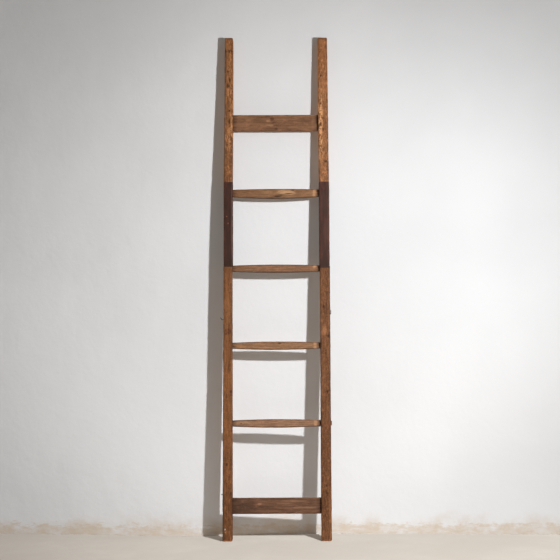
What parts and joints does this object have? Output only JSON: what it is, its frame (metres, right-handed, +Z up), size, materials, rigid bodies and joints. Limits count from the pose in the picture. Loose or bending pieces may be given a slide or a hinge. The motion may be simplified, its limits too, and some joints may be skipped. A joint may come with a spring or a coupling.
{
  "type": "ladder",
  "caption": "Old wooden ladder with bellied rungs between two flat boards; its upper section plugs onto the lower one through sleeves of sheet iron.",
  "frame": {"origin": "on the floor, midway between the feet and midway through the stiles' depth", "axes": "+Z up along the stiles, +X across the ladder to the right seen from the front, -Y the front"},
  "size_m": [0.4321, 0.0446, 1.959],
  "materials": {
    "lower_stile_wood": "worn, vertical grain",
    "upper_stile_wood": "worn, mottled and knotty",
    "board_wood": "sawn board, worn",
    "rung_wood": "worn smooth by feet and hands",
    "wedge_wood": "end grain, dark",
    "sleeve_iron": "sheet iron, dark brown, rusty",
    "nail_iron": "old iron, dark"
  },
  "bodies": {
    "lower_section": {"left_lower_stile": "lower_stile_wood", "right_lower_stile": "lower_stile_wood", "bottom_rail": "board_wood", "bottom_rail_left_upper_wedge": "wedge_wood", "bottom_rail_left_lower_wedge": "wedge_wood", "bottom_rail_right_upper_wedge": "wedge_wood", "bottom_rail_right_lower_wedge": "wedge_wood", "rung_2": "rung_wood", "rung_2_left_wedge": "wedge_wood", "rung_2_right_wedge": "wedge_wood", "rung_3": "rung_wood", "rung_3_left_wedge": "wedge_wood", "rung_3_right_wedge": "wedge_wood", "rung_4": "rung_wood", "rung_4_left_wedge": "wedge_wood", "rung_4_right_wedge": "wedge_wood", "bent_nail": "nail_iron", "clenched_nail": "nail_iron", "stub_nail": "nail_iron"},
    "upper_section": {"left_upper_stile": "upper_stile_wood", "right_upper_stile": "upper_stile_wood", "top_rail": "board_wood", "top_rail_left_upper_wedge": "wedge_wood", "top_rail_left_lower_wedge": "wedge_wood", "top_rail_right_upper_wedge": "wedge_wood", "top_rail_right_lower_wedge": "wedge_wood", "rung_1": "rung_wood", "rung_1_left_wedge": "wedge_wood", "rung_1_right_wedge": "wedge_wood", "left_sleeve": "sleeve_iron", "right_sleeve": "sleeve_iron", "left_sleeve_nails": "nail_iron", "right_sleeve_nails": "nail_iron"}
  },
  "joints": [
    {"name": "upper_section_lift", "type": "slide", "parent": "lower_section", "child": "upper_section", "axis": [0, 0, 1], "range_m": [0, 0.26]}
  ]
}
